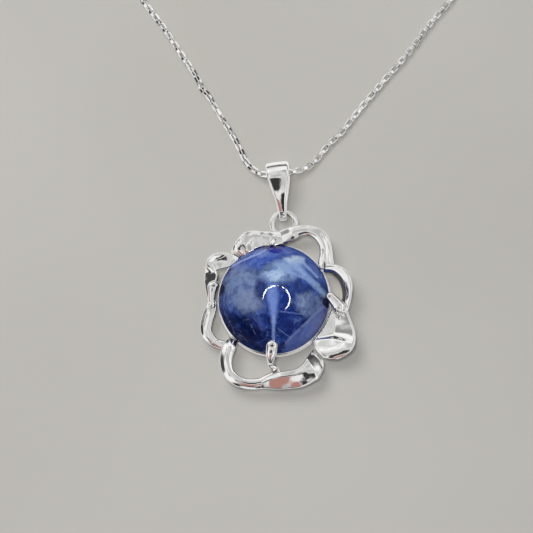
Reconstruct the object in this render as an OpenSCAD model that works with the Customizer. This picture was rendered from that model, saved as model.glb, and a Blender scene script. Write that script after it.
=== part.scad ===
// Pendant necklace: a round blue cabochon in a petal frame, on a bail and a fine box chain.
// The necklace lies flat, face up. The origin is on the stone's axis, on the resting plane.

/* [Stone] */
// Diameter of the round cabochon
stone_d = 16; // [15.6:0.1:16.1]
// Height of the dome above the girdle
dome_h = 5.3; // [4.5:0.1:6]
// Height of the upright girdle band
girdle_h = 0.7; // [0.4:0.1:0.9]

/* [Seat] */
// Height of the seat ring that the stone stands on
seat_h = 1.6; // [1.5:0.1:1.7]
// Outer diameter of the seat ring
seat_d = 16.7; // [16.6:0.1:16.8]
// Inner diameter of the seat ring
seat_bore_d = 13.2; // [12:0.2:14]

/* [Petals] */
// Thickness of the petal ribbons
ribbon_t = 0.62; // [0.5:0.02:0.7]
// Width of the bevel along a ribbon's edge
ribbon_bevel = 0.25; // [0.15:0.05:0.3]

/* [Prongs] */
// Thickness of the prongs, as a share of their drawn thickness
prong_scale = 1; // [0.9:0.02:1.04]

/* [Jump ring and bail] */
// Radius of the jump ring, to the middle of its wire
ring_r = 1.72; // [1.7:0.01:1.75]
// Radius of the jump ring's wire
ring_wire_r = 0.36; // [0.34:0.01:0.37]
// Radius of the hinge bores round the jump ring's wire
hinge_bore_r = 0.46; // [0.45:0.01:0.47]
// Lean of the bail to the left
bail_lean = 6; // [4:1:8]
// Thickness of the bail's strip
bail_t = 0.54; // [0.45:0.01:0.56]
// Radius of the bail's upper loop
bail_top_r = 2.1; // [2:0.05:2.1]

/* [Chain] */
// Width of the box chain
chain_d = 1.0; // [0.9:0.05:1.05]
// Turns of chain in each of the coil's two layers
coil_turns = 4.75; // [4.75]
// Radius of the coil's innermost turn, to the middle of the chain
coil_in_r = 3.7; // [3.65:0.01:3.75]
// Distance between neighbouring turns
coil_pitch = 0.905; // [0.895:0.005:0.915]

/* [Clasp] */
// Length of the lobster clasp, from its eye to the tip of its hook
clasp_l = 9; // [8.8:0.1:9.2]
// Thickness of the clasp's casing
clasp_t = 2.0; // [1.8:0.1:2]
// Radius of the clasp's rivet
rivet_r = 0.3; // [0.26:0.01:0.31]
// Inner radius of the free end ring
end_ring_bore_r = 1.3; // [1.2:0.05:1.35]

/* [Hidden] */

silver = [0.86, 0.86, 0.87];
stone_blue = [0.20, 0.27, 0.58];
overlap = 0.01;

stone_r = stone_d / 2;
girdle_top = seat_h + girdle_h;
dome_sphere_r = (stone_r * stone_r + dome_h * dome_h) / (2 * dome_h);

ring_z = 1.2;
ring_centre = [1.39, 11.45, ring_z];
ring_foot = ring_centre - [0, ring_r, 0];
ring_top = ring_centre + ring_r * [-sin(bail_lean), cos(bail_lean), 0];

// Middles of the bail's lower eye and upper loop, along the bail and across its depth
bail_boss_r = hinge_bore_r + bail_t;
bail_loop = [5.25, 0.95];
bail_length = bail_loop[0] + bail_top_r + bail_boss_r;

chain_r = chain_d / 2;
coil_centre = [-1.9, 58, 0];
coil_out_r = coil_in_r + coil_turns * coil_pitch + chain_r;
coil_h = 2.15 * chain_d;

// The chain's run, from the coil's top layer, through the bail, to the free end
run_route = [
    [-9.9, 56.6, 1.55], [-10.5, 54.3, 1.1], [-12.0, 52.6, 0.7], [-14.2, 51.7, 0.5],
    [-16.6, 51.2, 0.5], [-18.9, 50.0, 0.5], [-20.1, 47.8, 0.5], [-19.8, 46.0, 0.5],
    [-18.7, 44.5, 0.5], [-16.8, 41.9, 0.5], [-15.7, 40.2, 0.5], [-13.2, 36.4, 0.5],
    [-11.6, 33.9, 0.5], [-10.9, 32.3, 0.5], [-9.8, 31.0, 0.5], [-8.0, 27.9, 0.5],
    [-6.1, 24.7, 0.5], [-5.2, 23.0, 0.5], [-4.3, 21.1, 0.6], [-2.9, 19.6, 0.9],
    [-1.3, 18.85, 1.45], [0.6, 19.05, 1.5], [2.5, 19.25, 1.45], [3.7, 19.5, 1.1],
    [4.9, 20.0, 0.7], [6.2, 21.2, 0.5], [7.6, 22.9, 0.5], [8.6, 24.0, 0.5], [10.0, 25.3, 0.5],
    [12.4, 28.4, 0.5], [15.9, 32.6, 0.5], [17.1, 34.0, 0.5], [18.3, 35.3, 0.5],
    [20.7, 38.2, 0.5], [22.5, 40.7, 0.5], [24.7, 43.4, 0.5], [26.3, 45.2, 0.5],
    [27.3, 47.3, 0.75], [27.7, 49.3, 1.05]
];
// The chain's lead, from the coil's bottom layer to the clasp
lead_route = [
    [6.1, 56.6, 0.5], [6.3, 54.6, 0.5], [6.9, 53.0, 0.55], [7.9, 52.0, 0.85], [9.15, 51.5, 1.3]
];

// Clasp hinge, on the outer upright wire of the clasp's ring
clasp_z = 1.3;
small_ring_r = 1.0;
small_wire_r = 0.3;
clasp_eye = [12.5, 51.5, clasp_z];
clasp_eye_t = 0.7;
clasp_bore_r = small_wire_r + 0.12;
hook_mid = clasp_l - 2.85;
hook_out_r = 2.0;
hook_in_r = 1.2;
gate_from = 44;
pivot = [2.5, 0.75];
lever_reach = 4.65;
lever_gap = 0.1;
slot_h = 1.1;
lever_t = 0.7;
lever_bore_r = rivet_r + 0.04;

// Free end: a small upright link and the flat ring that the clasp hooks into
link_centre = [27.7, 50.1, 1.05];
link_r = 0.8;
link_wire_r = 0.22;
end_ring_w = 0.6;
end_ring_t = 0.5;
end_ring_centre = link_centre + [0, end_ring_bore_r + end_ring_w / 2, 0];

// ---- Curves and swept shapes ----

function curve_point(p, i, t) =
    let (n = len(p) - 1, a = p[max(i - 1, 0)], b = p[i], c = p[min(i + 1, n)], d = p[min(i + 2, n)])
    0.5 * ((2 * b) + (c - a) * t + (2 * a - 5 * b + 4 * c - d) * t * t
        + (3 * b - a - 3 * c + d) * t * t * t);
// A smooth curve through the points, with a number of steps between neighbours
function curve(p, steps) = concat(
    [for (i = [0 : len(p) - 2], k = [0 : steps - 1]) curve_point(p, i, k / steps)],
    [p[len(p) - 1]]);
function unit(v) = v / norm(v);
function direction(p, i) = unit(p[min(i + 1, len(p) - 1)] - p[max(i - 1, 0)]);

// A closed skin over rings of equal size
module skin(rings) {
    n = len(rings[0]);
    last = len(rings) - 1;
    polyhedron(
        points = [for (ring = rings, p = ring) p],
        faces = concat(
            [[for (k = [0 : n - 1]) n - 1 - k]],
            [for (i = [0 : last - 1], k = [0 : n - 1])
                let (a = i * n + k, b = i * n + (k + 1) % n) each [[a, b, b + n], [a, b + n, a + n]]],
            [[for (k = [0 : n - 1]) last * n + k]]
        ));
}

// A round tube along a route
module tube(route, radius, sides, steps) {
    line = curve(route, steps);
    skin([for (i = [0 : len(line) - 1])
        let (t = direction(line, i), side = unit(cross([0, 0, 1], t)), up = cross(side, t))
        [for (k = [0.5 : sides - 0.5])
            line[i] + radius * (cos(360 * k / sides) * side + sin(360 * k / sides) * up)]]);
}

// A ribbon between two edges; each station holds the outer edge's point and the inner edge's
module ribbon(stations, thickness = ribbon_t) {
    steps = 4;
    outer = curve([for (s = stations) s[0]], steps);
    inner = curve([for (s = stations) s[1]], steps);
    middle = (outer + inner) / 2;
    color(silver)
    skin([for (i = [0 : len(outer) - 1])
        let (
            across = unit(inner[i] - outer[i]),
            up = unit(cross(across, direction(middle, i))) * thickness / 2,
            bevel = across * ribbon_bevel
        )
        [outer[i], outer[i] + bevel - up, inner[i] - bevel - up,
            inner[i], inner[i] - bevel + up, outer[i] + bevel + up]]);
}

// A prong: a claw through a list of balls, each with its middle and its radius
module prong(balls) {
    color(silver)
    for (i = [0 : len(balls) - 2])
        hull()
        for (ball = [balls[i], balls[i + 1]])
            translate(ball[0]) sphere(ball[1] * prong_scale, $fn = 20);
}

// A wire ring round the Z axis
module wire_ring(radius, wire) {
    rotate_extrude($fn = 64) translate([radius, 0]) circle(wire, $fn = 32);
}

// ---- Stone and setting ----

module stone() {
    color(stone_blue)
    translate([0, 0, seat_h]) {
        cylinder(r = stone_r, h = girdle_h, $fn = 96);
        translate([0, 0, girdle_h - overlap])
        intersection() {
            translate([0, 0, dome_h - dome_sphere_r]) sphere(dome_sphere_r, $fn = 96);
            cylinder(r = stone_r, h = dome_h + 1, $fn = 96);
        }
    }
}

module seat_ring() {
    groove = 0.15;
    groove_z = 0.75;
    color(silver)
    rotate_extrude($fn = 96)
    polygon([
        [seat_bore_d / 2, 0], [seat_d / 2 - 0.2, 0], [seat_d / 2, 0.2], [seat_d / 2, groove_z - groove],
        [seat_d / 2 - groove, groove_z], [seat_d / 2, groove_z + groove],
        [seat_d / 2, seat_h - groove], [seat_d / 2 - groove, seat_h], [seat_bore_d / 2 + 0.3, seat_h],
        [seat_bore_d / 2, seat_h - 0.4]
    ]);
}

module prong_top() {
    prong([[[0.9, 9.15, 2.3], 0.4], [[0.6, 8.9, 3.0], 0.45], [[0.1, 8.1, 3.22], 0.5]]);
}
module prong_left() {
    prong([
        [[-9.3, -0.6, 2.1], 0.5], [[-9.2, 0.4, 2.5], 0.5],
        [[-8.9, 2.0, 2.9], 0.65], [[-8.05, 1.9, 2.7], 0.38]
    ]);
}
module prong_right() {
    prong([
        [[10.1, -1.7, 2.1], 0.6], [[9.5, -0.9, 2.9], 0.55],
        [[8.9, -0.2, 3.2], 0.5], [[8.2, 0.45, 3.05], 0.5]
    ]);
}
module prong_bottom() {
    prong([
        [[0.2, -10.6, 2.2], 0.55], [[0.05, -9.8, 2.6], 0.32],
        [[-0.15, -8.6, 3.7], 0.5], [[-0.3, -7.4, 4.5], 0.7]
    ]);
}

module petal_top_left() {
    ribbon([
        [[2.1, 10.15, 2.6], [1.5, 8.5, 2.5]],
        [[0.3, 10.1, 2.6], [0.2, 8.35, 2.4]],
        [[-1.5, 10.15, 2.7], [-1.4, 8.2, 2.3]],
        [[-3.6, 10.0, 3.0], [-2.9, 7.8, 2.4]],
        [[-4.8, 9.5, 3.3], [-4.0, 7.3, 2.6]],
        [[-5.7, 8.5, 3.0], [-4.9, 6.8, 2.2]],
        [[-6.2, 7.2, 1.9], [-5.5, 6.1, 1.3]]
    ]);
}
module petal_upper_left() {
    ribbon([
        [[-5.6, 7.1, 2.3], [-5.7, 6.0, 1.3]],
        [[-7.2, 7.1, 3.0], [-6.4, 5.4, 2.0]],
        [[-8.7, 6.9, 3.3], [-7.0, 4.8, 2.2]],
        [[-9.8, 6.1, 3.3], [-7.5, 4.1, 2.1]],
        [[-10.1, 4.9, 2.9], [-7.9, 3.3, 1.8]],
        [[-10.0, 3.3, 2.4], [-8.3, 2.3, 1.7]],
        [[-9.85, 1.7, 2.1], [-8.8, 1.3, 1.7]],
        [[-9.75, -0.2, 2.1], [-8.85, -0.1, 1.8]]
    ]);
}
module petal_left() {
    ribbon([
        [[-9.8, 0.2, 2.3], [-8.7, 0.2, 2.0]],
        [[-10.1, -1.6, 2.4], [-8.8, -1.4, 2.0]],
        [[-10.65, -3.3, 2.3], [-9.3, -3.0, 1.8]],
        [[-10.75, -4.8, 2.0], [-9.4, -4.7, 1.6]],
        [[-10.1, -6.0, 1.6], [-9.0, -5.5, 1.3]],
        [[-8.9, -6.8, 1.3], [-8.2, -6.0, 1.1]],
        [[-7.5, -7.1, 1.1], [-7.0, -6.1, 1.0]],
        [[-6.4, -6.9, 1.1], [-5.9, -5.8, 1.0]]
    ]);
}
module petal_lower_left() {
    ribbon([
        [[-6.8, -5.4, 2.5], [-5.7, -6.0, 1.5]],
        [[-7.6, -6.8, 2.7], [-6.2, -7.2, 2.3]],
        [[-7.9, -8.3, 2.5], [-6.3, -8.7, 2.6]],
        [[-7.6, -10.2, 2.2], [-6.0, -9.9, 2.6]],
        [[-6.6, -11.6, 2.1], [-5.2, -11.0, 2.6]],
        [[-5.2, -12.5, 2.1], [-4.2, -11.6, 2.6]],
        [[-3.4, -12.95, 2.1], [-2.9, -11.8, 2.6]],
        [[-1.6, -13.0, 2.1], [-1.6, -11.5, 2.6]],
        [[-0.2, -12.8, 2.2], [-0.5, -11.2, 2.6]]
    ]);
}
module petal_bottom() {
    ribbon([
        [[-1.6, -12.5, 2.2], [-1.5, -11.3, 2.5]],
        [[0.1, -13.0, 2.0], [0, -10.9, 2.7]],
        [[1.9, -13.1, 1.9], [1.2, -10.7, 2.9]],
        [[3.8, -13.0, 2.0], [2.7, -10.4, 3.1]],
        [[5.1, -12.5, 2.3], [3.9, -9.6, 3.1]],
        [[6.3, -11.5, 2.6], [4.7, -8.7, 2.7]],
        [[6.9, -10.2, 2.3], [5.1, -7.9, 1.9]],
        [[6.8, -8.7, 1.5], [4.9, -6.65, 1.2]]
    ]);
}
module petal_lower_right() {
    ribbon([
        [[10.5, -1.3, 2.2], [8.7, -1.9, 1.6]],
        [[11.1, -3.1, 2.7], [7.8, -3.1, 1.3]],
        [[11.8, -4.9, 3.2], [7.2, -4.3, 1.3]],
        [[12.0, -6.1, 3.4], [6.8, -5.0, 1.3]],
        [[11.6, -7.3, 3.4], [6.4, -5.5, 1.3]],
        [[10.4, -8.3, 3.1], [6.1, -5.9, 1.3]],
        [[8.9, -8.7, 2.5], [5.9, -6.4, 1.3]],
        [[7.3, -8.6, 1.9], [5.7, -7.0, 1.3]]
    ]);
}
module petal_right() {
    ribbon([
        [[8.2, 4.8, 2.6], [7.4, 3.8, 1.3]],
        [[9.3, 4.95, 3.0], [8.6, 4.0, 1.4]],
        [[10.3, 4.4, 3.3], [9.6, 3.4, 1.5]],
        [[11.0, 3.1, 3.4], [10.1, 2.5, 1.6]],
        [[11.2, 1.6, 3.3], [10.3, 1.4, 1.6]],
        [[11.0, 0.1, 3.0], [10.2, 0.2, 1.6]],
        [[10.5, -1.4, 2.5], [9.8, -1.0, 1.6]]
    ]);
}
module petal_top_right() {
    ribbon([
        [[1.0, 9.9, 2.5], [1.2, 8.75, 2.5]],
        [[2.4, 10.4, 2.7], [2.7, 9.15, 2.6]],
        [[3.9, 10.7, 2.9], [4.0, 9.5, 2.6]],
        [[5.7, 10.65, 3.0], [5.3, 9.3, 2.5]],
        [[7.1, 10.0, 3.1], [6.2, 8.6, 2.4]],
        [[8.0, 8.7, 3.1], [6.9, 7.3, 2.3]],
        [[8.5, 7.2, 3.0], [6.9, 6.1, 2.1]],
        [[8.7, 5.9, 2.8], [6.8, 5.2, 1.7]],
        [[8.8, 4.7, 2.5], [6.9, 4.5, 1.3]]
    ]);
}

// Small tube soldered behind the top petals; the jump ring's lower wire runs through it
module hanging_eye() {
    length = 0.7;
    wall = 0.26;
    block = [length, 0.9, 0.75];
    color(silver)
    translate(ring_foot)
    difference() {
        union() {
            rotate([0, 90, 0]) cylinder(r = hinge_bore_r + wall, h = length, center = true, $fn = 48);
            translate([-block[0] / 2, -hinge_bore_r - wall, hinge_bore_r]) cube(block);
        }
        rotate([0, 90, 0]) cylinder(r = hinge_bore_r, h = 2 * length, center = true, $fn = 48);
    }
}

module jump_ring() {
    color(silver)
    translate(ring_centre)
    wire_ring(ring_r, ring_wire_r);
}

// ---- Bail ----

// The outline of a belt round two circles, the first of them at the origin
function belt(first_r, second, second_r) =
    let (steps = 40, a = atan2(second[1], second[0]), f = acos((first_r - second_r) / norm(second)))
    concat(
        [for (i = [0 : steps]) let (t = a + f + (360 - 2 * f) * i / steps) first_r * [cos(t), sin(t)]],
        [for (i = [0 : steps]) let (t = a - f + 2 * f * i / steps) second + second_r * [cos(t), sin(t)]]);

// A strip bent into a teardrop loop; the hollow between its faces runs down into the hinge bore
module bail() {
    bore_lip = 0.02;
    half_width = [[-1.1, 0.42], [0, 0.5], [1.5, 0.66], [3.2, 1.0], [4.8, 1.38], [6.4, 1.6], [7.0, 1.58]];
    outline = concat(
        [for (p = half_width) [-p[1], p[0]]],
        [[0, bail_length]],
        [for (i = [len(half_width) - 1 : -1 : 0]) [half_width[i][1], half_width[i][0]]]);
    color(silver)
    translate(ring_top)
    rotate([0, 0, bail_lean])
    intersection() {
        rotate([90, 0, 90])
        linear_extrude(height = 4, center = true)
        difference() {
            polygon(belt(bail_boss_r, bail_loop, bail_top_r));
            polygon(belt(hinge_bore_r - bore_lip, bail_loop, bail_top_r - bail_t));
            circle(hinge_bore_r, $fn = 64);
        }
        translate([0, 0, -2]) linear_extrude(height = 8) polygon(outline);
    }
}

// ---- Chain ----

module chain_run() { color(silver) tube(run_route, chain_r, 8, 2); }
module chain_lead() { color(silver) tube(lead_route, chain_r, 8, 2); }

module chain_coil() {
    inner = coil_in_r - chain_r;
    round_off = 0.4;
    color(silver)
    translate(coil_centre)
    rotate_extrude($fn = 96)
    polygon([
        [inner, 0], [coil_out_r, 0], [coil_out_r, coil_h - round_off], [coil_out_r - round_off, coil_h],
        [inner + round_off, coil_h], [inner, coil_h - round_off]
    ]);
}

// ---- Clasp ----

// Small flat ring that closes the chain's end and holds the clasp's ring
module clasp_end_loop() {
    color(silver)
    translate([10.2, clasp_eye[1], clasp_z])
    wire_ring(0.95, 0.25);
}

module clasp_ring() {
    color(silver)
    translate(clasp_eye - [small_ring_r, 0, 0])
    rotate([90, 0, 0])
    wire_ring(small_ring_r, small_wire_r);
}

module hook_sector(from, to) {
    reach = 2 * hook_out_r;
    polygon(concat([[0, 0]], [for (a = [from : (to - from) / 6 : to]) reach * [cos(a), sin(a)]]));
}

// The sweep of the lever's tip about its pivot, seen from the middle of the hook
module lever_circle(radius) {
    translate(pivot - [hook_mid, 0]) circle(radius, $fn = 96);
}

// Casing: an eye, a body with a slot for the lever, and a hook open on one side
module clasp_body() {
    torso = [2.2, 2.9];
    torso_start = 1.4;
    color(silver)
    translate(clasp_eye)
    difference() {
        union() {
            cylinder(r = 0.85, h = clasp_eye_t, center = true, $fn = 48);
            translate([0, -0.45, -clasp_eye_t / 2]) cube([torso_start + 0.3, 0.9, clasp_eye_t]);
            translate([torso_start, -torso[1] / 2, -clasp_t / 2]) cube([torso[0], torso[1], clasp_t]);
            translate([hook_mid, 0, 0])
            linear_extrude(height = clasp_t, center = true)
            difference() {
                circle(hook_out_r, $fn = 72);
                circle(hook_in_r, $fn = 64);
                hook_sector(gate_from + 10, 175);
                intersection() {
                    lever_circle(lever_reach + lever_gap);
                    hook_sector(10, gate_from + 20);
                }
            }
            translate([torso_start + 1, -torso[1] / 2, -clasp_t / 2])
            cube([hook_mid - hook_in_r - torso_start - 0.4, 0.9, clasp_t]);
            translate([hook_mid - hook_in_r - 0.6, -1.45, -clasp_t / 2]) cube([0.9, 0.75, clasp_t]);
        }
        cylinder(r = clasp_bore_r, h = 2, center = true, $fn = 48);
        translate([torso_start + 0.25, -0.35, -slot_h / 2]) cube([4, 3, slot_h]);
        translate([pivot[0], pivot[1], 0]) cylinder(r = rivet_r, h = 2 * clasp_t, center = true, $fn = 40);
    }
}

module clasp_rivet() {
    head_t = 0.15;
    color(silver)
    translate(clasp_eye + [pivot[0], pivot[1], 0]) {
        cylinder(r = rivet_r, h = clasp_t, center = true, $fn = 40);
        for (side = [-1, 1])
            translate([0, 0, side * (clasp_t + head_t) / 2])
            cylinder(r = rivet_r + 0.2, h = head_t, center = true, $fn = 40);
    }
}

// Lever: turns on the rivet and closes the hook's open side, with a tab for the thumbnail
module clasp_lever() {
    color(silver)
    translate(clasp_eye)
    difference() {
        union() {
            translate([pivot[0], pivot[1], 0]) cylinder(r = 0.66, h = lever_t, center = true, $fn = 48);
            translate([hook_mid, 0, 0])
            linear_extrude(height = lever_t, center = true)
            intersection() {
                difference() {
                    circle(hook_out_r, $fn = 72);
                    circle(hook_in_r + 0.15, $fn = 64);
                }
                hook_sector(gate_from - 20, 162);
                lever_circle(lever_reach);
            }
            translate([pivot[0], pivot[1] - 0.1, -lever_t / 2]) cube([1.8, 0.7, lever_t]);
            translate([pivot[0] - 0.3, pivot[1] + 0.3, -lever_t / 2]) cube([0.8, 1.5, lever_t]);
        }
        translate([pivot[0], pivot[1], 0])
        cylinder(r = lever_bore_r, h = 2 * clasp_t, center = true, $fn = 40);
    }
}

// Spring: a flat coil round the rivet above the lever, with one arm against the casing
module clasp_spring() {
    wire = 0.14;
    color([0.7, 0.7, 0.72])
    translate(clasp_eye + [pivot[0], pivot[1], lever_t / 2 + 0.03]) {
        difference() {
            cylinder(r = rivet_r + 0.22, h = wire, $fn = 40);
            translate([0, 0, -wire]) cylinder(r = rivet_r + 0.05, h = 3 * wire, $fn = 40);
        }
        translate([-0.05, -1.05, 0]) cube([wire, 0.75, wire]);
    }
}

// ---- Free end ----

module free_end_link() {
    color(silver)
    translate(link_centre)
    rotate([0, 90, 0])
    wire_ring(link_r, link_wire_r);
}

module free_end_ring() {
    ease = 0.1;
    in_r = end_ring_bore_r;
    out_r = end_ring_bore_r + end_ring_w;
    half = end_ring_t / 2;
    color(silver)
    translate(end_ring_centre)
    rotate_extrude($fn = 64)
    polygon([
        [in_r, -half], [out_r - ease, -half], [out_r, ease - half], [out_r, half - ease],
        [out_r - ease, half], [in_r, half]
    ]);
}

stone();
seat_ring();
prong_top();
prong_left();
prong_right();
prong_bottom();
petal_top_left();
petal_upper_left();
petal_left();
petal_lower_left();
petal_bottom();
petal_lower_right();
petal_right();
petal_top_right();
hanging_eye();
jump_ring();
bail();
chain_run();
chain_lead();
chain_coil();
clasp_end_loop();
clasp_ring();
clasp_body();
clasp_rivet();
clasp_lever();
clasp_spring();
free_end_link();
free_end_ring();
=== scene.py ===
"""The looks of a pendant necklace: a blue cabochon in winding silver ribbons, on a bail and a box chain.

Shapes are written in millimetres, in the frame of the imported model, and scaled to metres as they become meshes.
"""
import math

import bmesh
import bpy
import numpy as np
from mathutils import Matrix, Vector


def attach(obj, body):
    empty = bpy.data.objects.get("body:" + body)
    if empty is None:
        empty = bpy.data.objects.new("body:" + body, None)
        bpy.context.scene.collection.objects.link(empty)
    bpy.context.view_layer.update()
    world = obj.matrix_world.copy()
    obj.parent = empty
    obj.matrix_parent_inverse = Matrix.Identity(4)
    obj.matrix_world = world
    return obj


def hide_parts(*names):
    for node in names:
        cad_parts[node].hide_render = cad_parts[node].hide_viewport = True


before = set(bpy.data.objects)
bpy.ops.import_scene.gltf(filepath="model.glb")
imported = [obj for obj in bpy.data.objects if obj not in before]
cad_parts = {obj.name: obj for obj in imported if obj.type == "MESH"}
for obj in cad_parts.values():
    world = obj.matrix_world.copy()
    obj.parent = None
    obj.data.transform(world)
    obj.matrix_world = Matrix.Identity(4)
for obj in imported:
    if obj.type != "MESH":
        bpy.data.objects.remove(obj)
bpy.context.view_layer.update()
MM = 0.001
rng = np.random.default_rng(11)
scene = bpy.context.scene


# ---- Small helpers ----

def unit(v):
    v = np.asarray(v, float)
    return v / np.maximum(np.linalg.norm(v, axis=-1, keepdims=True), 1e-12)


def curve(points, steps):
    """A smooth curve through the points, with a number of steps between neighbours."""
    p = np.asarray(points, float)
    last = len(p) - 1
    t = (np.arange(steps) / steps)[:, None]
    out = []
    for i in range(last):
        a, b, c, d = p[max(i - 1, 0)], p[i], p[i + 1], p[min(i + 2, last)]
        out.append(0.5 * (2 * b + (c - a) * t + (2 * a - 5 * b + 4 * c - d) * t**2 + (3 * b - a - 3 * c + d) * t**3))
    return np.concatenate(out + [p[-1:]])


def resample(points, gap):
    """Points at equal steps of about gap along a line, ends included."""
    p = np.asarray(points, float)
    s = np.concatenate([[0], np.cumsum(np.linalg.norm(np.diff(p, axis=0), axis=1))])
    count = max(int(round(s[-1] / gap)), 1)
    at = np.linspace(0, s[-1], count + 1)
    return np.stack([np.interp(at, s, p[:, k]) for k in range(p.shape[1])], axis=1)


def tangents(points):
    return unit(np.gradient(points, axis=0))


def smooth_step(x):
    x = np.clip(x, 0, 1)
    return x * x * (3 - 2 * x)


def grid_faces(rows, columns, closed_rows=False, offset=0):
    """Quads between rows of points that are closed round their columns."""
    faces = []
    for i in range(rows if closed_rows else rows - 1):
        j = (i + 1) % rows
        for k in range(columns):
            m = (k + 1) % columns
            faces.append((offset + i * columns + k, offset + i * columns + m,
                          offset + j * columns + m, offset + j * columns + k))
    return faces


def piece(name, points, faces, material, body, replaced=(), sharp=None):
    """A mesh from points in millimetres that rides a body."""
    mesh = bpy.data.meshes.new(name)
    mesh.from_pydata((np.asarray(points) * MM).tolist(), [], faces)
    work = bmesh.new()
    work.from_mesh(mesh)
    bmesh.ops.recalc_face_normals(work, faces=work.faces)
    work.to_mesh(mesh)
    work.free()
    mesh.polygons.foreach_set("use_smooth", [True] * len(mesh.polygons))
    if sharp:
        mesh.set_sharp_from_angle(angle=math.radians(sharp))
    mesh.materials.append(material)
    made = bpy.data.objects.new(name, mesh)
    scene.collection.objects.link(made)
    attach(made, body)
    if replaced:
        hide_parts(*replaced)
    return made


def skin(rings):
    """Points and faces of a closed skin over rings of equal size."""
    rings = np.asarray(rings)
    rows, columns = rings.shape[:2]
    faces = grid_faces(rows, columns)
    faces += [tuple(range(columns)), tuple((rows - 1) * columns + k for k in range(columns))]
    return rings.reshape(-1, 3), faces


# ---- Camera ----

CAMERA_TARGET = Vector((-1.10, 4.85, 2.3)) * MM
CAMERA_DISTANCE = 0.4
CAMERA_LEAN = {"right": 4, "down": 10}
LENS_MM, SENSOR_MM = 183.8, 36


def make_camera():
    """A long lens, nearly straight above, a little below the pendant and to its right."""
    right, down = (math.tan(math.radians(CAMERA_LEAN[way])) for way in ("right", "down"))
    back = Vector((right, -down, 1)).normalized()
    up = (Vector((0, 1, 0)) - back * back.y).normalized()
    camera = bpy.data.objects.new("camera", bpy.data.cameras.new("camera"))
    camera.data.lens = LENS_MM
    camera.data.sensor_width = SENSOR_MM
    camera.data.clip_start = 0.01
    camera.data.clip_end = 20
    camera.matrix_world = (Matrix.Translation(CAMERA_TARGET + back * CAMERA_DISTANCE)
                           @ Matrix((up.cross(back), up, back)).transposed().to_4x4())
    scene.collection.objects.link(camera)
    scene.camera = camera


make_camera()


# ---- Node graphs ----

class Graph:
    """Short calls that add nodes to a material's or the world's tree."""

    def __init__(self, tree):
        self.tree = tree
        tree.nodes.clear()

    def node(self, kind, *values, **settings):
        made = self.tree.nodes.new(kind)
        for key, value in settings.items():
            if key in made.inputs:
                self.put(made.inputs[key], value)
            else:
                setattr(made, key, value)
        for socket, value in zip(made.inputs, values):
            self.put(socket, value)
        return made

    def put(self, socket, value):
        if isinstance(value, bpy.types.NodeSocket):
            self.tree.links.new(value, socket)
        elif value is not None:
            if socket.type == "RGBA" and len(value) == 3:
                value = (*value, 1)
            socket.default_value = value

    def math(self, operation, *values, clamp=False):
        return self.node("ShaderNodeMath", *values, operation=operation, use_clamp=clamp).outputs[0]

    def vector(self, operation, *values, scale=None):
        made = self.node("ShaderNodeVectorMath", *values, operation=operation)
        if scale is not None:
            self.put(made.inputs["Scale"], scale)
        return made.outputs["Value" if operation in ("DOT_PRODUCT", "LENGTH", "DISTANCE") else "Vector"]

    def noise(self, where, scale, detail=3.0, rough=0.5, distortion=0.0, colour=False):
        made = self.node("ShaderNodeTexNoise", Vector=where, Scale=scale, Detail=detail, Roughness=rough,
                         Distortion=distortion)
        return made.outputs["Color" if colour else "Factor" if "Factor" in made.outputs else "Fac"]

    def span(self, value, low, high, to_low=0.0, to_high=1.0, smooth=True):
        made = self.node("ShaderNodeMapRange", value, low, high, to_low, to_high)
        if smooth:
            made.interpolation_type = "SMOOTHSTEP"
        return made.outputs[0]

    def ramp(self, value, stops):
        made = self.node("ShaderNodeValToRGB", value)
        while len(made.color_ramp.elements) < len(stops):
            made.color_ramp.elements.new(0.5)
        for element, (position, colour) in zip(made.color_ramp.elements, stops):
            element.position = position
            element.color = (*colour, 1)
        return made.outputs[0]

    def mix(self, factor, a, b, blend="MIX"):
        made = self.node("ShaderNodeMix", data_type="RGBA", blend_type=blend)
        for socket, value in zip((made.inputs[0], made.inputs[6], made.inputs[7]), (factor, a, b)):
            self.put(socket, value)
        return made.outputs[2]

    def bump(self, height, strength, distance):
        return self.node("ShaderNodeBump", Strength=strength, Distance=distance, Height=height).outputs[0]


def srgb(r, g, b):
    """A linear colour from 0-255 screen values."""
    return tuple(v / 12.92 if v <= 0.04045 else ((v + 0.055) / 1.055) ** 2.4 for v in (r / 255, g / 255, b / 255))


def grey(v):
    return (v, v, v)


def material(name):
    made = bpy.data.materials.new(name)
    made.use_nodes = True
    graph = Graph(made.node_tree)
    shader = graph.node("ShaderNodeBsdfPrincipled")
    output = graph.node("ShaderNodeOutputMaterial")
    graph.put(output.inputs["Surface"], shader.outputs[0])
    return made, graph, shader


def place_mm(graph):
    """Object coordinates in millimetres."""
    return graph.vector("SCALE", graph.node("ShaderNodeTexCoord").outputs["Object"], scale=1 / MM)


# ---- Studio ----

# The ring lamp: its direction, and its radius and half width in degrees
RING_LAMP_AXIS = (0.09, -0.036, 0.995)
RING_LAMP_RADIUS = 25.7
RING_LAMP_EDGE = (1.6, 0.8)
# The ring's brightness and the dome's share in the stone's sharp reflections
SHARP_RING, SHARP_DOME = 80.0, 0.3
# The ring's brightness and share in every other reflection
FAINT_RING, FAINT_SHARE = 1.6, 0.5
# The dome's share in the light that it throws on things
DOME_LIGHT = 0.44
DOME_STRENGTH = 0.8
BACKDROP = (200, 198, 193)


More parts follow.
